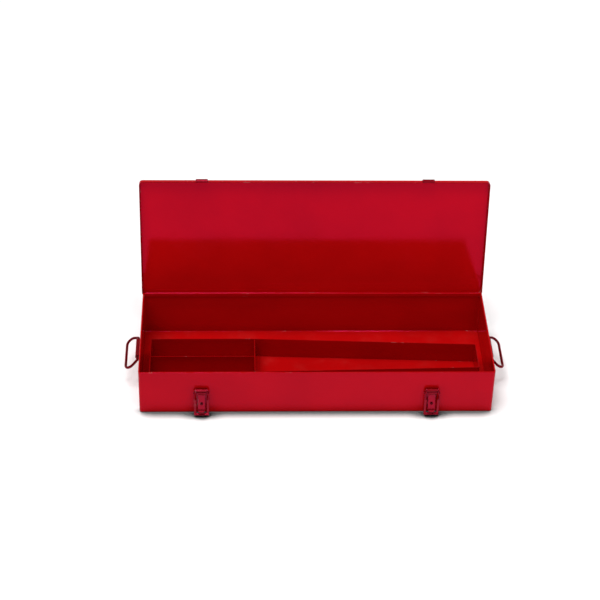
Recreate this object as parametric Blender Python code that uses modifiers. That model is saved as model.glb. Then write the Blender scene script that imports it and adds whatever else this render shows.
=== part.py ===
"""A long, shallow steel toolbox with its lid open: a hinged lid, two draw latches, two bail
handles and a lift-out tray whose two dividers make three compartments.

The box lies along X with its front at -Y and its base on z = 0. Lengths are in metres."""

from math import atan2, cos, pi, radians, sin

import bmesh
import bpy
from mathutils import Matrix, Vector

MM = 0.001

# Driving dimensions
LENGTH = 533 * MM
DEPTH = 196 * MM
BODY_HEIGHT = 77 * MM
SHEET = 1.0 * MM
GAP = 0.3 * MM
FOLD_RADIUS = 2.2 * MM
CORNER_RADIUS = 3.5 * MM

HEM_THICKNESS = 2.2 * MM
HEM_HEIGHT = 6.0 * MM
EDGE_ROUND = 0.35 * MM

LID_OVERHANG = 1.8 * MM
LID_FLANGE = 9.0 * MM
LID_CORNER_RADIUS = 5.5 * MM
LID_EDGE_ROUND = 0.3 * MM
LID_OPEN_ANGLE = radians(97.2)

HINGE_LENGTH = 500 * MM
HINGE_KNUCKLES = 25
KNUCKLE_RADIUS = 2.2 * MM
KNUCKLE_BORE = 1.3 * MM
KNUCKLE_GAP = 0.2 * MM
HINGE_PIN_RADIUS = 1.0 * MM
BODY_LEAF_HEIGHT = 20 * MM
LID_LEAF_OVERLAP = 0.7 * MM

LATCH_SPREAD = 345.6 * MM
STRIKE_WIDTH = 18 * MM
STRIKE_SHEET = 1.2 * MM
STRIKE_CHANNEL = 3.6 * MM
STRIKE_DROP = 2.7 * MM
STRIKE_TIP = 0.9 * MM
STRIKE_TOP = 2.2 * MM
STRIKE_BEND = 1.6 * MM

LATCH_PLATE = 1.2 * MM
LATCH_BEND = 1.6 * MM
WEB_BEND = 2.2 * MM
PLATE_CORNER = 1.2 * MM
LATCH_EYE = (4.4 * MM, 46 * MM)
LATCH_EYE_RADIUS = 2.2 * MM
LATCH_EYE_BORE = 1.5 * MM
BASE_WIDTH = 15.4 * MM
BASE_WAIST = 11.2 * MM
BASE_FOOT = 8.6 * MM
BASE_NECK = 43 * MM
BASE_SHOULDER = 30 * MM
LATCH_RIVETS = (("lower", 18.3 * MM), ("upper", 28 * MM))

LEVER_WIDTH = 22.4 * MM
LEVER_TOP_WIDTH = 18.4 * MM
LEVER_FOOT = 4.4 * MM
LEVER_FRONT = 9.6 * MM
LEVER_LIP = 12.6 * MM
LEVER_EYE_RADIUS = 3.2 * MM
LEVER_JOGGLE = (42 * MM, 43.8 * MM)
LEVER_JOGGLE_BEND = 1.4 * MM
WINDOW_WIDTH = 16.2 * MM
WINDOW_FOOT = 7.4 * MM
WINDOW_CORNER = 2.0 * MM
ABOVE_LEVER = 50 * MM
CUT_DEPTH = (0.09, 0.13)

HOOK_EYE = (4.0 * MM, 41 * MM)
HOOK_EYE_RADIUS = 1.9 * MM
HOOK_EYE_BORE = 1.25 * MM
HOOK_HANG_ANGLE = radians(156)
HOOK_WIDTH = 10.8 * MM
HOOK_BEND = 1.5 * MM
HOOK_STANDOFF = 7.8 * MM
HOOK_NOSE = 4.5 * MM
HOOK_NOSE_DROP = 3.4 * MM
HOOK_RISE = 2.3 * MM
HOOK_ELBOW = 3.8 * MM
HOOK_HOLE = (17.5 * MM, 2.3 * MM)

LEVER_PIN = (1.2 * MM, 1.9 * MM)
HOOK_PIN = (1.0 * MM, 1.8 * MM)
HOOK_PIN_BORE = 1.3 * MM
PIN_HEAD = (0.3 * MM, 0.7 * MM)
RIVET_HEAD = (2.6 * MM, 1.3 * MM)
RIVET_SHANK = 1.4 * MM
RIVET_TAIL = 0.9 * MM

HANDLE_AXIS_HEIGHT = 44 * MM
HANDLE_AXIS_OFFSET = 4.6 * MM
HANDLE_REST_ANGLE = radians(36)
BAIL_FOOT_WIDTH = 26.5 * MM
BAIL_GRIP_WIDTH = 42 * MM
BAIL_FOOT_RADIUS = 4.4 * MM
BAIL_GRIP_RADIUS = 9 * MM
BAIL_REACH = 22.5 * MM
BAIL_WIRE_RADIUS = 2.1 * MM
BAIL_END = 14 * MM
BRACKET_LENGTH = 40 * MM
BRACKET_HEIGHT = 26 * MM
BRACKET_SHEET = 1.2 * MM
BRACKET_BEND = 1.6 * MM

TRAY_TOP = 36.5 * MM
TRAY_SHEET = 1.2 * MM
TRAY_LEFT = -253 * MM
TRAY_RIGHT = 252 * MM
TRAY_BEND = -92 * MM
TRAY_REAR = 33.6 * MM
TRAY_FRONT = -47.6 * MM
TRAY_RIGHT_REAR = 19.2 * MM
TRAY_RIGHT_FRONT = -37.4 * MM
DIVIDER_Y = -9.7 * MM
DIVIDER_FLANGE = 8 * MM
DIVIDER_BEND = 1.4 * MM
DIVIDER_END_CLEARANCE = 1.0 * MM
TRAY_CORNER_RADIUS = 2.2 * MM

# Derived places
FRONT = -DEPTH / 2
REAR = DEPTH / 2
LID_TOP = BODY_HEIGHT + GAP + SHEET
LID_RIM = LID_TOP - LID_FLANGE
HINGE_Y = REAR + GAP + KNUCKLE_RADIUS
HINGE_Z = LID_RIM - GAP - KNUCKLE_RADIUS

# Planes that a flat outline can lie in, each with its extrusion along the third axis
ALONG_X = Matrix(((0, 0, 1, 0), (1, 0, 0, 0), (0, 1, 0, 0), (0, 0, 0, 1)))
ALONG_Y = Matrix(((1, 0, 0, 0), (0, 0, -1, 0), (0, 1, 0, 0), (0, 0, 0, 1)))
ALONG_Z = Matrix.Identity(4)

RED = (0.42, 0.012, 0.016)
DARK_RED = (0.34, 0.009, 0.013)


def clear_scene():
    for obj in list(bpy.data.objects):
        bpy.data.objects.remove(obj)


def collection(name, hidden=False):
    made = bpy.data.collections.new(name)
    made.hide_render = hidden
    bpy.context.scene.collection.children.link(made)
    return made


def material(name, color, roughness=0.28, metallic=0.0):
    made = bpy.data.materials.new(name)
    made.use_nodes = True
    shader = made.node_tree.nodes["Principled BSDF"]
    shader.inputs["Base Color"].default_value = (*color, 1.0)
    shader.inputs["Roughness"].default_value = roughness
    shader.inputs["Metallic"].default_value = metallic
    made.diffuse_color = (*color, 1.0)
    return made


def place(name, mesh, group, color=RED, parent=None, origin=(0, 0, 0)):
    """An object from a mesh in world coordinates, with its origin moved to the given point."""
    mesh.name = name
    mesh.transform(Matrix.Translation(-Vector(origin)))
    obj = bpy.data.objects.new(name, mesh)
    group.objects.link(obj)
    if parent is None:
        obj.location = origin
    else:
        obj.parent = parent
        obj.location = Vector(origin) - Vector(parent["pivot"])
    if color is not None:
        mesh.materials.clear()
        mesh.materials.append(material(name + "_paint", color))
    mesh.shade_smooth()
    mesh.set_sharp_from_angle(angle=radians(40))
    return obj


def pivot(name, point, angle=0.0, parent=None):
    """An empty on a joint's axis. What hangs on it is modelled unturned, in world coordinates."""
    empty = bpy.data.objects.new(name, None)
    empty.empty_display_size = 0.01
    parts.objects.link(empty)
    empty["pivot"] = tuple(point)
    empty.location = point
    if parent is not None:
        empty.parent = parent
        empty.location = Vector(point) - Vector(parent["pivot"])
    empty.rotation_euler.x = angle
    return empty


def boolean(obj, cutter, operation="DIFFERENCE"):
    modifier = obj.modifiers.new(operation.title() + "_" + cutter.name, "BOOLEAN")
    modifier.operation = operation
    modifier.object = cutter
    modifier.solver = "EXACT"


def cutter(name, mesh, parent=None, origin=(0, 0, 0)):
    obj = place(name, mesh, cutters, None, parent, origin)
    obj.hide_render = True
    obj.display_type = "WIRE"
    return obj


def soften(obj, width=EDGE_ROUND, segments=2):
    modifier = obj.modifiers.new("Bevel", "BEVEL")
    modifier.width = width
    modifier.segments = segments
    modifier.limit_method = "ANGLE"
    modifier.angle_limit = radians(50)


def arc(centre, start, end, radius, steps):
    """Points on an arc between two angles, both ends included."""
    angles = [start + (end - start) * i / steps for i in range(steps + 1)]
    return [(centre[0] + radius * cos(a), centre[1] + radius * sin(a)) for a in angles]


def rounded(points, radius, steps=4, closed=True):
    """The outline or path with each corner replaced by an arc of the radius."""
    count = len(points)
    made = []
    for i, point in enumerate(points):
        if not closed and i in (0, count - 1):
            made.append(point)
            continue
        corner = Vector(point)
        before = (Vector(points[i - 1]) - corner).normalized()
        after = (Vector(points[(i + 1) % count]) - corner).normalized()
        half = before.angle(after) / 2
        centre = corner + (before + after).normalized() * (radius / sin(half))
        reach = radius * cos(half) / sin(half)
        first = corner + before * reach - centre
        last = corner + after * reach - centre
        start = atan2(first.y, first.x)
        sweep = (atan2(last.y, last.x) - start + pi) % (2 * pi) - pi
        made += arc(centre, start, start + sweep, radius, steps)
    return made


def strip(path, thickness, radius, steps=4):
    """The outline of bent sheet whose middle line is the path, with arcs at the bends."""
    line = [Vector(p) for p in rounded(path, radius, steps, closed=False)]
    sides = ([], [])
    for i, point in enumerate(line):
        along = line[min(i + 1, len(line) - 1)] - line[max(i - 1, 0)]
        normal = Vector((-along.y, along.x)).normalized() * thickness / 2
        sides[0].append(tuple(point + normal))
        sides[1].append(tuple(point - normal))
    return sides[0] + sides[1][::-1]


def prism(loops, low, high, frame):
    """A flat outline, with any holes, extruded along the frame's third axis from low to high."""
    data = bpy.data.curves.new("outline", "CURVE")
    data.dimensions = "2D"
    data.fill_mode = "BOTH"
    data.extrude = (high - low) / 2
    for loop in loops:
        spline = data.splines.new("POLY")
        spline.points.add(len(loop) - 1)
        for target, (u, v) in zip(spline.points, loop):
            target.co = (u, v, 0, 1)
        spline.use_cyclic_u = True
    curve = bpy.data.objects.new("outline", data)
    cutters.objects.link(curve)
    mesh = meshed(curve)
    mesh.transform(frame @ Matrix.Translation((0, 0, (low + high) / 2)))
    return mesh


def meshed(curve):
    """A curve object's solid as a welded mesh, with the curve removed."""
    graph = bpy.context.evaluated_depsgraph_get()
    mesh = bpy.data.meshes.new_from_object(curve.evaluated_get(graph))
    bpy.data.objects.remove(curve)
    edit = bmesh.new()
    edit.from_mesh(mesh)
    bmesh.ops.remove_doubles(edit, verts=edit.verts, dist=0.00001)
    bmesh.ops.recalc_face_normals(edit, faces=edit.faces)
    edit.to_mesh(mesh)
    edit.free()
    return mesh


def merged(meshes):
    """One mesh that holds several separate bodies, for a cutter."""
    edit = bmesh.new()
    for mesh in meshes:
        edit.from_mesh(mesh)
    mesh = bpy.data.meshes.new("merged")
    edit.to_mesh(mesh)
    edit.free()
    return mesh


def block(low, high, corner=0.0, fold=0.0, open_end="top", steps=4):
    """A box between two corners. Its upright edges are rounded by corner, and the edges of the
    closed end by fold."""
    edit = bmesh.new()
    middle = [(a + b) / 2 for a, b in zip(low, high)]
    size = [b - a for a, b in zip(low, high)]
    bmesh.ops.create_cube(edit, size=1.0, matrix=Matrix.Translation(middle) @ Matrix.Diagonal((*size, 1)))
    if corner:
        upright = [e for e in edit.edges if abs(e.verts[0].co.z - e.verts[1].co.z) > size[2] / 2]
        bmesh.ops.bevel(
            edit, geom=upright, offset=corner, segments=steps, affect="EDGES", profile=0.5
        )
    if fold:
        level = low[2] if open_end == "top" else high[2]
        ends = [e for e in edit.edges if all(abs(v.co.z - level) < 1e-7 for v in e.verts)]
        bmesh.ops.bevel(
            edit, geom=ends, offset=fold, segments=steps, affect="EDGES", profile=0.5
        )
    mesh = bpy.data.meshes.new("block")
    edit.to_mesh(mesh)
    edit.free()
    return mesh


def rod(start, end, radius, sides=16):
    """A plain cylinder between two points."""
    edit = bmesh.new()
    start, end = Vector(start), Vector(end)
    turn = (end - start).to_track_quat("Z", "Y").to_matrix().to_4x4()
    bmesh.ops.create_cone(
        edit,
        cap_ends=True,
        segments=sides,
        radius1=radius,
        radius2=radius,
        depth=(end - start).length,
        matrix=Matrix.Translation((start + end) / 2) @ turn,
    )
    mesh = bpy.data.meshes.new("rod")
    edit.to_mesh(mesh)
    edit.free()
    return mesh


def turned(name, profile, base, direction, steps=16, color=RED, parent=None):
    """A piece turned about an axis: the profile holds (radius, height) points from the top down."""
    mesh = bpy.data.meshes.new(name)
    points = [(radius, 0, height) for radius, height in profile]
    mesh.from_pydata(points, [(i, i + 1) for i in range(len(points) - 1)], [])
    obj = place(name, mesh, parts, color)
    obj.parent = parent
    turn = Vector(direction).to_track_quat("Z", "Y").to_matrix().to_4x4()
    home = Vector(base) if parent is None else Vector(base) - Vector(parent["pivot"])
    obj.matrix_basis = Matrix.Translation(home) @ turn
    modifier = obj.modifiers.new("Screw", "SCREW")
    modifier.steps = modifier.render_steps = steps
    modifier.use_merge_vertices = True
    modifier.merge_threshold = 0.00001
    modifier.use_smooth_shade = True
    return obj


def make_body():
    half = LENGTH / 2
    body = place(
        "body_pan",
        block((-half, FRONT, 0), (half, REAR, BODY_HEIGHT), CORNER_RADIUS, FOLD_RADIUS),
        parts,
    )
    wall, hem = SHEET, HEM_THICKNESS
    hollow = block(
        (-half + wall, FRONT + wall, SHEET),
        (half - wall, REAR - wall, BODY_HEIGHT - HEM_HEIGHT),
        CORNER_RADIUS - wall,
        FOLD_RADIUS - wall,
    )
    mouth = block(
        (-half + hem, FRONT + hem, BODY_HEIGHT - 2 * HEM_HEIGHT),
        (half - hem, REAR - hem, BODY_HEIGHT + HEM_HEIGHT),
        CORNER_RADIUS - hem,
    )
    boolean(body, cutter("body_hollow", hollow))
    boolean(body, cutter("body_mouth", mouth))
    return body


def make_lid():
    """The lid is modelled shut, and its pivot turns it open."""
    hinge = pivot("lid_pivot", (0, HINGE_Y, HINGE_Z), -LID_OPEN_ANGLE)
    x, y = LENGTH / 2 + LID_OVERHANG, DEPTH / 2 + LID_OVERHANG
    origin = (0, HINGE_Y, HINGE_Z)
    shell = block(
        (-x, -y, LID_RIM), (x, y, LID_TOP), LID_CORNER_RADIUS, FOLD_RADIUS, open_end="bottom"
    )
    lid = place("lid_pan", shell, parts, RED, hinge, origin)
    hollow = block(
        (-x + SHEET, -y + SHEET, LID_RIM - LID_FLANGE),
        (x - SHEET, y - SHEET, LID_TOP - SHEET),
        LID_CORNER_RADIUS - SHEET,
        FOLD_RADIUS - SHEET,
        open_end="bottom",
    )
    boolean(lid, cutter("lid_hollow", hollow, hinge, origin))
    soften(lid, LID_EDGE_ROUND)
    for side, x in latch_places():
        middle = outward(LID_OVERHANG + GAP + STRIKE_SHEET / 2)
        lip = middle - STRIKE_CHANNEL
        low, tip, top = LID_RIM - STRIKE_DROP, LID_RIM + STRIKE_TIP, LID_TOP - STRIKE_TOP
        path = [(middle, top), (middle, low), (lip, low), (lip, tip)]
        mesh = prism(
            [strip(path, STRIKE_SHEET, STRIKE_BEND, 6)],
            x - STRIKE_WIDTH / 2,
            x + STRIKE_WIDTH / 2,
            ALONG_X,
        )
        place("lid_strike_" + side, mesh, parts, DARK_RED, hinge, origin)
    return hinge


def outward(distance):
    """The y of a place that stands the distance out from the front panel."""
    return FRONT - distance


def latch_places():
    return (("left", -LATCH_SPREAD / 2), ("right", LATCH_SPREAD / 2))


def make_hinge(hinge):
    """A piano hinge: the body's leaf hangs under the knuckles and the lid's stands above them."""
    origin = (0, HINGE_Y, HINGE_Z)
    half = HINGE_LENGTH / 2
    ring = [
        arc((HINGE_Y, HINGE_Z), 0, 2 * pi * 15 / 16, KNUCKLE_RADIUS, 15),
        arc((HINGE_Y, HINGE_Z), 0, 2 * pi * 15 / 16, KNUCKLE_BORE, 15),
    ]
    low = REAR + GAP
    body_flat = block(
        (-half, low, HINGE_Z - BODY_LEAF_HEIGHT), (half, low + SHEET, HINGE_Z)
    )
    lid_near = REAR + LID_OVERHANG + GAP
    lid_flat = block(
        (-half, lid_near, HINGE_Z + KNUCKLE_RADIUS - LID_LEAF_OVERLAP),
        (half, lid_near + SHEET, LID_TOP - FOLD_RADIUS),
    )
    pitch = HINGE_LENGTH / HINGE_KNUCKLES
    reach = KNUCKLE_RADIUS + GAP
    for name, flat, first, parent in (
        ("hinge_body_leaf", body_flat, 1, None),
        ("hinge_lid_leaf", lid_flat, 0, hinge),
    ):
        leaf = place(name, flat, parts, DARK_RED, parent, origin)
        barrel = prism(ring, -half, half, ALONG_X)
        boolean(leaf, cutter(name + "_barrel", barrel, parent, origin), "UNION")
        gaps = []
        for i in range(first, HINGE_KNUCKLES, 2):
            start = -half + i * pitch
            gaps.append(
                block(
                    (start - KNUCKLE_GAP, HINGE_Y - reach - SHEET, HINGE_Z - reach),
                    (start + pitch + KNUCKLE_GAP, HINGE_Y + reach, HINGE_Z + reach),
                )
            )
        boolean(leaf, cutter(name + "_gaps", merged(gaps), parent, origin))
    pin = rod((-half, HINGE_Y, HINGE_Z), (half, HINGE_Y, HINGE_Z), HINGE_PIN_RADIUS, 12)
    place("hinge_pin", pin, parts, DARK_RED)


def rivet(name, point, direction, cut, sheets):
    """A domed rivet whose head stands on the outer sheet at the point, with clearance holes for
    its shank through the sheets."""
    head, height = RIVET_HEAD
    tail = -sheets - 2 * GAP
    dome = [(head * sin(a), height * cos(a)) for a in (pi / 8 * i for i in range(5))]
    profile = dome + [
        (RIVET_SHANK, 0),
        (RIVET_SHANK, tail),
        (head * 0.85, tail),
        (head * 0.7, tail - RIVET_TAIL),
        (0, tail - RIVET_TAIL),
    ]
    away = Vector(direction)
    base = Vector(point) + away * GAP
    turned(name, profile, base, away)
    hole = rod(base, base - away * (sheets + 4 * GAP), RIVET_SHANK + GAP, 12)
    holder = cutter(name + "_hole", hole)
    for obj in cut:
        boolean(obj, holder)


def turned_pin(name, place_at, sizes, half_span, parent=None):
    """A pivot pin along X with a low head at each end. The sizes are its radius and its heads'."""
    radius, head = sizes
    step, full = PIN_HEAD
    upper = [
        (0, half_span + full),
        (head * 0.75, half_span + full),
        (head, half_span + step),
        (head, half_span),
        (radius, half_span),
    ]
    lower = [(r, -height) for r, height in reversed(upper)]
    turned(name, upper + lower, place_at, (1, 0, 0), 14, DARK_RED, parent)


def make_latch(side, x, body):
    """A draw latch: a riveted base with a rolled eye at its top, a lever that turns on the eye's
    pin, and a hook that turns in the lever. The hook hangs open through the lever's window."""
    plate = LATCH_PLATE
    eye_y, eye_z = outward(LATCH_EYE[0]), LATCH_EYE[1]
    hook_y, hook_z = outward(HOOK_EYE[0]), HOOK_EYE[1]
    far = outward(GAP + plate)
    middle = outward(GAP + plate / 2)
    wide = BASE_WIDTH / 2

    name = "latch_base_" + side
    neck = (outward(LATCH_EYE[0] - LATCH_EYE_RADIUS / 2), eye_z + 1 * MM)
    rise = [(middle, BASE_FOOT), (middle, BASE_NECK), neck]
    base = place(
        name, prism([strip(rise, plate, LATCH_BEND)], x - wide, x + wide, ALONG_X), parts
    )
    roll = rod((x - wide, eye_y, eye_z), (x + wide, eye_y, eye_z), LATCH_EYE_RADIUS, 24)
    boolean(base, cutter(name + "_eye", roll), "UNION")
    bore = rod((x - 2 * wide, eye_y, eye_z), (x + 2 * wide, eye_y, eye_z), LATCH_EYE_BORE)
    boolean(base, cutter(name + "_bore", bore))
    sides = []
    for edge in (-1, 1):
        inner, outer = x + edge * BASE_WAIST / 2, x + edge * 2 * wide
        corner = [
            (inner, BASE_FOOT + 3.4 * MM),
            (inner - edge * 2.6 * MM, BASE_FOOT - 3.6 * MM),
            (outer, BASE_FOOT - 3.6 * MM),
            (outer, BASE_SHOULDER),
            (inner, BASE_SHOULDER),
        ]
        sides.append(prism([rounded(corner, PLATE_CORNER)], *CUT_DEPTH, ALONG_Y))
    boolean(base, cutter(name + "_waist", merged(sides)))
    for level, height in LATCH_RIVETS:
        rivet(
            f"latch_rivet_{level}_{side}", (x, far, height), (0, -1, 0), (base, body), plate + SHEET
        )
    span = LEVER_TOP_WIDTH / 2 + GAP
    turned_pin("lever_pin_" + side, (x, eye_y, eye_z), LEVER_PIN, span)

    lever_pivot = pivot("lever_pivot_" + side, (x, eye_y, eye_z))
    origin = (x, eye_y, eye_z)
    lever = make_lever(side, x, lever_pivot, origin)
    span = LEVER_WIDTH / 2 + GAP
    turned_pin("hook_pin_" + side, (x, hook_y, hook_z), HOOK_PIN, span, lever_pivot)
    for label, y, z, radius in (
        ("eye", eye_y, eye_z, LATCH_EYE_BORE),
        ("pin", hook_y, hook_z, HOOK_PIN_BORE),
    ):
        hole = rod((x - LEVER_WIDTH, y, z), (x + LEVER_WIDTH, y, z), radius)
        boolean(lever, cutter(f"{lever.name}_{label}_bore", hole, lever_pivot, origin))
    make_hook(side, x, lever_pivot)


def make_lever(side, x, lever_pivot, origin):
    """Two side rails, drawn in at the top, on a front plate with a window that is open above and
    a lip turned out below."""
    plate = LATCH_PLATE
    eye_y, eye_z = outward(LATCH_EYE[0]), LATCH_EYE[1]
    web_in, web_out = outward(LEVER_FRONT), outward(LEVER_FRONT + plate)
    web_mid = (web_in + web_out) / 2
    wide = LEVER_WIDTH / 2
    foot = LEVER_FOOT + plate / 2
    web = strip(
        [(web_mid, 33 * MM), (web_mid, foot), (outward(LEVER_LIP), foot)], plate, WEB_BEND
    )
    mesh = prism([web], x - wide, x + wide, ALONG_X)
    lever = place("latch_lever_" + side, mesh, parts, RED, lever_pivot, origin)
    outline = (
        arc((eye_y, eye_z), pi * 0.06, pi * 0.94, LEVER_EYE_RADIUS, 8)
        + [(web_out, 35 * MM), (web_out, 6 * MM), (outward(9.0 * MM), LEVER_FOOT)]
        + [(outward(6.5 * MM), 5 * MM), (outward(3.0 * MM), 20 * MM)]
    )
    low, high = LEVER_JOGGLE
    for edge in (-1, 1):
        drawn_in, full = LEVER_TOP_WIDTH / 2 - plate / 2, wide - plate / 2
        path = [
            (x + edge * drawn_in, ABOVE_LEVER + 10 * MM),
            (x + edge * drawn_in, high),
            (x + edge * full, low),
            (x + edge * full, -5 * MM),
        ]
        label = lever.name + ("_left_rail" if edge < 0 else "_right_rail")
        sheet = prism([strip(path, plate, LEVER_JOGGLE_BEND)], *CUT_DEPTH, ALONG_Y)
        rail = cutter(label, sheet, lever_pivot, origin)
        shape = prism([outline], x - LEVER_WIDTH, x + LEVER_WIDTH, ALONG_X)
        boolean(rail, cutter(label + "_outline", shape, lever_pivot, origin), "INTERSECT")
        boolean(lever, rail, "UNION")
    reach = WINDOW_WIDTH / 2
    window = rounded(
        [
            (x - reach, WINDOW_FOOT),
            (x + reach, WINDOW_FOOT),
            (x + reach, ABOVE_LEVER),
            (x - reach, ABOVE_LEVER),
        ],
        WINDOW_CORNER,
    )
    mesh = prism([window], -web_in - plate, -web_out + plate / 2, ALONG_Y)
    boolean(lever, cutter(lever.name + "_window", mesh, lever_pivot, origin))
    return lever


def make_hook(side, x, lever_pivot):
    """The hook is drawn as it stands when latched, and its pivot lets it hang."""
    hook_y, hook_z = outward(HOOK_EYE[0]), HOOK_EYE[1]
    hook_pivot = pivot("hook_pivot_" + side, (x, hook_y, hook_z), HOOK_HANG_ANGLE, lever_pivot)
    origin = (x, hook_y, hook_z)
    shank, nose, top = outward(HOOK_STANDOFF), outward(HOOK_NOSE), LID_RIM + HOOK_RISE
    path = [
        (hook_y, hook_z),
        (shank, hook_z + HOOK_ELBOW),
        (shank, top),
        (nose, top),
        (nose, top - HOOK_NOSE_DROP),
    ]
    width = HOOK_WIDTH / 2
    mesh = prism([strip(path, SHEET, HOOK_BEND, 6)], x - width, x + width, ALONG_X)
    hook = place("latch_hook_" + side, mesh, parts, RED, hook_pivot, origin)
    reach = LEVER_TOP_WIDTH / 2 - LATCH_PLATE - 2 * GAP
    eye = rod((x - reach, hook_y, hook_z), (x + reach, hook_y, hook_z), HOOK_EYE_RADIUS, 20)
    boolean(hook, cutter(hook.name + "_eye", eye, hook_pivot, origin), "UNION")
    bored = HOOK_EYE_BORE
    clear = rod((x - 2 * width, hook_y, hook_z), (x + 2 * width, hook_y, hook_z), bored)
    boolean(hook, cutter(hook.name + "_bore", clear, hook_pivot, origin))
    hole_rise, hole_radius = HOOK_HOLE
    hole_z = hook_z + hole_rise
    drilled = rod((x, shank - 3 * MM, hole_z), (x, shank + 3 * MM, hole_z), hole_radius, 20)
    boolean(hook, cutter(hook.name + "_hole", drilled, hook_pivot, origin))
    corners = []
    for edge in (-1, 1):
        inner, outer = x + edge * (width - 3.2 * MM), x + edge * 2 * width
        round_end = [
            (inner, top + 5 * MM),
            (inner, top + 0.5 * MM),
            (x + edge * (width - 1.1 * MM), top - 1.2 * MM),
            (x + edge * (width + 0.1 * MM), top - 5.2 * MM),
            (outer, top - 5.2 * MM),
            (outer, top + 5 * MM),
        ]
        corners.append(prism([rounded(round_end, PLATE_CORNER)], *CUT_DEPTH, ALONG_Y))
    boolean(hook, cutter(hook.name + "_end", merged(corners), hook_pivot, origin))


def make_handle(side, sign):
    """A wire bail whose ends turn in a pressed bracket that is spot-welded to the end wall."""
    wall = LENGTH / 2
    axis_z = HANDLE_AXIS_HEIGHT
    near = GAP + BRACKET_SHEET / 2
    swell = BAIL_WIRE_RADIUS + GAP + BRACKET_SHEET / 2
    crown = HANDLE_AXIS_OFFSET + swell
    rise = BRACKET_HEIGHT / 2
    path = [
        (near, axis_z - rise),
        (near, axis_z - swell),
        (crown, axis_z - swell),
        (crown, axis_z + swell),
        (near, axis_z + swell),
        (near, axis_z + rise),
    ]
    bent = strip(path, BRACKET_SHEET, BRACKET_BEND)
    outline = [(sign * (wall + e), z) for e, z in bent]
    reach = BRACKET_LENGTH / 2
    place("handle_bracket_" + side, prism([outline], -reach, reach, ALONG_Y), parts, RED)

    bail_pivot = bpy.data.objects.new("bail_pivot_" + side, None)
    bail_pivot.empty_display_size = 0.01
    parts.objects.link(bail_pivot)
    bail_pivot.location = (sign * (wall + HANDLE_AXIS_OFFSET), 0, axis_z)
    bail_pivot.rotation_euler.y = sign * HANDLE_REST_ANGLE
    legs = [
        (BAIL_END, 0),
        (BAIL_FOOT_WIDTH, 0),
        (BAIL_GRIP_WIDTH, BAIL_REACH),
        (0, BAIL_REACH),
    ]
    first = rounded(legs[:3], BAIL_FOOT_RADIUS, 6, closed=False)[:-1]
    second = rounded(legs[1:], BAIL_GRIP_RADIUS, 8, closed=False)[1:-1]
    route = first + second
    route += [(-y, e) for y, e in reversed(route)]
    data = bpy.data.curves.new("bail_" + side, "CURVE")
    data.dimensions = "3D"
    data.bevel_depth = BAIL_WIRE_RADIUS
    data.bevel_resolution = 2
    data.use_fill_caps = True
    spline = data.splines.new("POLY")
    spline.points.add(len(route) - 1)
    for target, (y, e) in zip(spline.points, route):
        target.co = (sign * e, y, 0, 1)
    data.materials.append(material("bail_paint_" + side, RED))
    bail = bpy.data.objects.new("bail_" + side, data)
    parts.objects.link(bail)
    bail.parent = bail_pivot


def tray_outline(inset):
    """The tray's plan: straight beside the small compartments, then tapering to the right end."""
    return [
        (TRAY_LEFT + inset, TRAY_FRONT + inset),
        (TRAY_BEND, TRAY_FRONT + inset),
        (TRAY_RIGHT - inset, TRAY_RIGHT_FRONT + inset),
        (TRAY_RIGHT - inset, TRAY_RIGHT_REAR - inset),
        (TRAY_BEND, TRAY_REAR - inset),
        (TRAY_LEFT + inset, TRAY_REAR - inset),
    ]


def make_tray():
    floor = SHEET + GAP
    shell = prism([rounded(tray_outline(0), TRAY_CORNER_RADIUS, 3)], floor, TRAY_TOP, ALONG_Z)
    tray = place("tray_pan", shell, parts)
    inner = rounded(tray_outline(TRAY_SHEET), TRAY_CORNER_RADIUS - TRAY_SHEET, 3)
    hollow = prism([inner], floor + TRAY_SHEET, BODY_HEIGHT, ALONG_Z)
    boolean(tray, cutter("tray_hollow", hollow))

    stand = floor + TRAY_SHEET + GAP
    clear = TRAY_SHEET + GAP
    middle, foot = DIVIDER_Y, stand + TRAY_SHEET / 2
    lengthwise = strip(
        [(middle, TRAY_TOP), (middle, foot), (middle + DIVIDER_FLANGE, foot)],
        TRAY_SHEET,
        DIVIDER_BEND,
    )
    end = TRAY_BEND - TRAY_SHEET / 2 - GAP
    mesh = prism([lengthwise], TRAY_LEFT + clear, end, ALONG_X)
    place("tray_long_divider", mesh, parts, DARK_RED)
    across = strip(
        [(TRAY_BEND, TRAY_TOP), (TRAY_BEND, foot), (TRAY_BEND + DIVIDER_FLANGE, foot)],
        TRAY_SHEET,
        DIVIDER_BEND,
    )
    clear += DIVIDER_END_CLEARANCE
    mesh = prism([across], -(TRAY_REAR - clear), -(TRAY_FRONT + clear), ALONG_Y)
    place("tray_cross_divider", mesh, parts, DARK_RED)


clear_scene()
parts = collection("toolbox_with_tray")
cutters = collection("cutters", hidden=True)
body_pan = make_body()
lid_pivot = make_lid()
make_hinge(lid_pivot)
for latch_side, latch_x in latch_places():
    make_latch(latch_side, latch_x, body_pan)
make_handle("left", -1)
make_handle("right", 1)
soften(body_pan)
make_tray()
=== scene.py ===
from math import cos, radians, sin

import bpy
from mathutils import Matrix, Vector

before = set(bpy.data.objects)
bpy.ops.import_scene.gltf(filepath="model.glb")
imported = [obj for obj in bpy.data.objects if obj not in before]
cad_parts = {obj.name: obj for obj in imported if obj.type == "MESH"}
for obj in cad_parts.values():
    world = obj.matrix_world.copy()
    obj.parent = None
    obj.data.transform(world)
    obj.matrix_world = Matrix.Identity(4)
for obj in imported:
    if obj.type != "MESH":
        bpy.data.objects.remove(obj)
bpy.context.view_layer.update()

# Paint, as linear colours
RED = (0.42, 0.0022, 0.0028)
TRAY_RED = (0.40, 0.0018, 0.0024)
LID_RED = (0.47, 0.0022, 0.0028)
FITTING_RED = (0.23, 0.0015, 0.0035)
WIRE_RED = (0.15, 0.001, 0.003)
SCRATCHED = (0.02, 0.02)
DARK_STEEL = (0.11, 0.075, 0.07, 1.0)
BARE_STEEL = (0.30, 0.27, 0.26, 1.0)
DUST = (0.40, 0.13, 0.11, 1.0)
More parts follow.
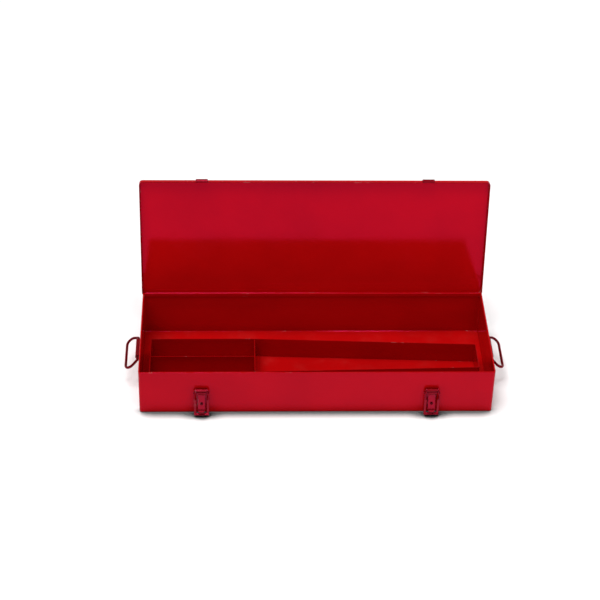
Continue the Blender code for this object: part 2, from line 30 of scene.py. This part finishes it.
PAINT_SHEEN = (1.0, 0.08, 0.75, 1.0)
FITTING_SHEEN = (1.0, 0.14, 0.42, 1.0)

# Floor, in metres: a painted shadow darkens it this near to the box, from the front wall's line
# forward
FLOOR_REACH = 6.0
FLOOR_PALE = ((0.90, 0.90, 0.90, 1), (0.92, 0.92, 0.92, 1))
FLOOR_PAINTED_SHADOW = (0.01, 0.02, 0.02, 1)
CONTACT_REACH = 0.026
CONTACT_START, CONTACT_FULL = -0.086, -0.102

# Light
WORLD_STRENGTH = 0.22
OVERHEAD_ENERGY = 2.75
OVERHEAD_ANGLE = radians(36)
OVERHEAD_WAY = Vector((0.27, 0.05, -1.0))

# Camera
IMAGE_WIDTH = 600
FOCAL_PIXELS = 1824.88
CAMERA_PLACE = Vector((-0.12811, -2.18122, 1.81447))
CAMERA_YAW, CAMERA_DOWN, CAMERA_ROLL = 0.04745, 0.65474, 0.02835


class Tree:
    """A material's node tree, with short calls for the nodes used here."""

    def __init__(self, material):
        material.use_nodes = True
        self.tree = material.node_tree
        self.shader = self.tree.nodes["Principled BSDF"]

    def add(self, kind, values=(), **settings):
        node = self.tree.nodes.new(kind)
        for key, value in settings.items():
            setattr(node, key, value)
        for socket, value in dict(values).items():
            self.put(node.inputs[socket], value)
        return node

    def put(self, socket, value):
        if isinstance(value, bpy.types.NodeSocket):
            self.tree.links.new(value, socket)
        else:
            socket.default_value = value

    def place(self):
        return self.add("ShaderNodeTexCoord").outputs["Object"]

    def split(self, vector):
        return self.add("ShaderNodeSeparateXYZ", {0: vector}).outputs

    def math(self, operation, a, b=0.0, clamp=False):
        node = self.add("ShaderNodeMath", {0: a, 1: b}, operation=operation, use_clamp=clamp)
        return node.outputs[0]

    def noise(self, vector, scale, detail=3.0, rough=0.5, distortion=0.0):
        node = self.add(
            "ShaderNodeTexNoise",
            {"Vector": vector, "Scale": scale, "Detail": detail, "Roughness": rough,
             "Distortion": distortion},
        )
        return node.outputs[0]

    def ramp(self, value, low, high, start=0.0, end=1.0):
        node = self.add(
            "ShaderNodeMapRange",
            {"Value": value, "From Min": low, "From Max": high, "To Min": start, "To Max": end},
            interpolation_type="SMOOTHSTEP",
        )
        return node.outputs[0]

    def mix(self, factor, a, b):
        node = self.add("ShaderNodeMix", {0: factor, 6: a, 7: b}, data_type="RGBA")
        return node.outputs[2]

    def mapped(self, vector, **values):
        return self.add("ShaderNodeMapping", {"Vector": vector, **values}).outputs[0]

    def bump(self, height, strength, distance, normal=None):
        values = {"Height": height, "Strength": strength, "Distance": distance}
        if normal is not None:
            values["Normal"] = normal
        return self.add("ShaderNodeBump", values).outputs[0]


def toned(colour, factor):
    return (*[c * factor for c in colour], 1.0)


def scratches(t, where):
    """Hair scratches: thin bands of stretched noise that only some areas have."""
    lines = []
    for scale, turn in (((30.0, 900.0, 30.0), 0.3), ((700.0, 25.0, 700.0), 1.1)):
        turned = t.mapped(where, Rotation=(turn, turn * 0.6, turn))
        band = t.noise(t.mapped(turned, Scale=scale), 1.0, 1.0)
        lines.append(t.ramp(t.math("ABSOLUTE", t.math("SUBTRACT", band, 0.5)), 0.004, 0.0))
    patch = t.ramp(t.noise(where, 14.0, 2.0), 0.56, 0.68)
    return t.math("MULTIPLY", t.math("MAXIMUM", *lines), patch)


def edges(t, true_normal, reach):
    """Edges, found by how far a rounded normal turns from the true one."""
    rounded = t.add("ShaderNodeBevel", {"Radius": reach}, samples=4).outputs[0]
    turn = t.add("ShaderNodeVectorMath", {0: rounded, 1: true_normal}, operation="DOT_PRODUCT")
    return t.ramp(turn.outputs["Value"], 0.985, 0.90)


def enamel(name, colour, seed, roughness=0.07, wave=0.4, wear=1.0, metal=0.16, ior=1.3,
           sheen=PAINT_SHEEN, edge_shade_tone=0.4, edge_reach=0.0012):
    """Gloss red enamel on sheet steel: a slow waviness from the sheet, fine orange peel, handling
    scratches, a light film of dust, painted shade that darkens the edges, and chips along them
    that show steel. The red reflection that the paint gives comes from a little metallic."""
    material = bpy.data.materials.new(name)
    t = Tree(material)
    where = t.mapped(t.place(), Location=(seed, seed * 0.7, seed * 1.3))
    true_normal = t.add("ShaderNodeNewGeometry").outputs["Normal"]

    cloud = t.ramp(t.noise(where, 9.0, 3.0, 0.55), 0.35, 0.65)
    base = t.mix(cloud, toned(colour, 0.94), toned(colour, 1.03))
    scratch = scratches(t, where)
    base = t.mix(t.math("MULTIPLY", scratch, 0.2), base, (colour[0] * 1.15, *SCRATCHED, 1.0))

    edge = edges(t, true_normal, edge_reach)
    # Painted shade: the paint colour is darkened along the edges.
    base = t.mix(t.math("MULTIPLY", edge, 0.9), base, toned(colour, edge_shade_tone))
    worn = t.math("MULTIPLY", t.ramp(t.noise(where, 38.0, 4.0, 0.7), 0.60, 0.66), edge)
    chips = t.math("MULTIPLY", worn, wear, clamp=True)
    steel = t.mix(t.noise(where, 60.0, 4.0, 0.6), DARK_STEEL, BARE_STEEL)
    base = t.mix(chips, base, steel)

    # Dust settles on what faces up.
    facing_up = t.ramp(t.split(true_normal)[2], 0.3, 0.95)
    settled = t.math("MULTIPLY", facing_up, t.ramp(t.noise(where, 22.0, 5.0, 0.65), 0.45, 0.8))
    base = t.mix(t.math("MULTIPLY", settled, 0.05), base, DUST)
    t.put(t.shader.inputs["Base Color"], base)

    smear = t.ramp(t.noise(where, 17.0, 4.0, 0.6, 0.8), 0.45, 0.8, 0.0, 0.06)
    rough = t.math("ADD", smear, roughness)
    for mark, amount in ((scratch, 0.25), (chips, 0.35), (settled, 0.12)):
        rough = t.math("ADD", rough, t.math("MULTIPLY", mark, amount), clamp=True)
    t.put(t.shader.inputs["Roughness"], rough)
    chip_metal = t.math("MULTIPLY", chips, 0.7)
    t.put(t.shader.inputs["Metallic"], t.math("MAXIMUM", chip_metal, metal))
    t.shader.inputs["Specular Tint"].default_value = sheen
    t.shader.inputs["IOR"].default_value = ior

    slow = t.bump(t.noise(where, 11.0, 1.0), 0.35 * wave, 0.0016)
    peel = t.bump(t.noise(where, 520.0, 2.0), 0.05, 0.0006, slow)
    marks = t.math("ADD", scratch, t.math("MULTIPLY", chips, 3.0))
    t.put(t.shader.inputs["Normal"], t.bump(marks, 0.25, -0.0001, peel))
    return material


def paint_nodes():
    tray = {"colour": TRAY_RED, "roughness": 0.14}
    fitting = {"wave": 0.0, "sheen": FITTING_SHEEN}
    divider = enamel("divider_enamel", seed=7.9, wear=1.4, **tray)
    hinge = enamel("hinge_enamel", RED, 2.3, wave=0.0, metal=0.2)
    wire = enamel(
        "wire_enamel", WIRE_RED, 17.0, roughness=0.16, wear=0.9, metal=0.45, ior=1.45, **fitting
    )
    latch = enamel(
        "fitting_enamel", FITTING_RED, 11.0, roughness=0.15, wear=0.8, metal=0.4, ior=1.6,
        **fitting,
    )
    finishes = {
        "body_pan": enamel("body_enamel", RED, 0.0, metal=0.08, ior=1.26),
        "lid_pan": enamel(
            "lid_enamel", LID_RED, 3.1, wear=0.4, edge_shade_tone=0.2, edge_reach=0.0022
        ),
        "tray_pan": enamel("tray_enamel", seed=5.7, **tray),
        "tray_long_divider": divider,
        "tray_cross_divider": divider,
        "hinge_body_leaf": hinge,
        "hinge_lid_leaf": hinge,
        "bail_left": wire,
        "bail_right": wire,
    }
    for name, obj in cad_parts.items():
        finish = finishes.get(name, latch)
        if not obj.material_slots:
            obj.data.materials.append(finish)
        for slot in obj.material_slots:
            slot.link = "OBJECT"
            slot.material = finish


def make_floor():
    mesh = bpy.data.meshes.new("floor")
    r = FLOOR_REACH
    mesh.from_pydata([(-r, -r, 0), (r, -r, 0), (r, r, 0), (-r, r, 0)], [], [(0, 1, 2, 3)])
    floor = bpy.data.objects.new("floor", mesh)
    bpy.context.scene.collection.objects.link(floor)
    material = bpy.data.materials.new("floor_paint")
    t = Tree(material)
    where = t.place()
    shade = t.mix(t.noise(where, 3.0, 2.0), *FLOOR_PALE)
    # A painted contact shadow: a narrow darker strip where the box's front stands on the floor.
    occluded = t.add("ShaderNodeAmbientOcclusion", {"Distance": CONTACT_REACH}, samples=8)
    near = t.ramp(occluded.outputs["AO"], 0.97, 0.45)
    ahead = t.ramp(t.split(where)[1], CONTACT_START, CONTACT_FULL)
    shade = t.mix(t.math("MULTIPLY", near, ahead), shade, FLOOR_PAINTED_SHADOW)
    t.put(t.shader.inputs["Base Color"], shade)
    t.shader.inputs["Roughness"].default_value = 0.9
    t.shader.inputs["Specular IOR Level"].default_value = 0.1
    mesh.materials.append(material)


def aim(obj, way):
    obj.rotation_euler = way.to_track_quat("-Z", "Y").to_euler()


def linked(name, data):
    obj = bpy.data.objects.new(name, data)
    bpy.context.scene.collection.objects.link(obj)
    return obj


def area(name, place, target, size, power):
    light = bpy.data.lights.new(name, "AREA")
    light.shape = "RECTANGLE"
    light.size, light.size_y = size
    light.energy = power
    obj = linked(name, light)
    obj.location = place
    aim(obj, Vector(target) - Vector(place))


def make_light():
    world = bpy.data.worlds.new("studio")
    bpy.context.scene.world = world
    world.use_nodes = True
    background = world.node_tree.nodes["Background"]
    background.inputs[0].default_value = (1, 1, 1, 1)
    background.inputs[1].default_value = WORLD_STRENGTH
    overhead = bpy.data.lights.new("overhead", "SUN")
    overhead.energy = OVERHEAD_ENERGY
    overhead.angle = OVERHEAD_ANGLE
    aim(linked("overhead", overhead), OVERHEAD_WAY)
    area("front_fill", (0.3, -2.6, 0.75), (0, 0, 0.12), (2.4, 0.9), 15.0)
    area("spark", (0.25, -0.35, 1.7), (0, -0.05, 0.05), (1.1, 0.12), 9.0)


def make_camera():
    yaw, down, roll = CAMERA_YAW, CAMERA_DOWN, CAMERA_ROLL
    forward = Vector((sin(yaw) * cos(down), cos(yaw) * cos(down), -sin(down)))
    level = Vector((cos(yaw), -sin(yaw), 0))
    above = level.cross(forward)
    right = cos(roll) * level + sin(roll) * above
    up = -sin(roll) * level + cos(roll) * above
    data = bpy.data.cameras.new("camera")
    data.sensor_width = 36.0
    data.lens = FOCAL_PIXELS * data.sensor_width / IMAGE_WIDTH
    data.clip_end = 50
    camera = linked("camera", data)
    turn = Matrix((right, up, -forward)).transposed().to_4x4()
    camera.matrix_world = Matrix.Translation(CAMERA_PLACE) @ turn
    bpy.context.scene.camera = camera


paint_nodes()
make_floor()
make_light()
make_camera()
bpy.context.scene.view_settings.view_transform = "Standard"
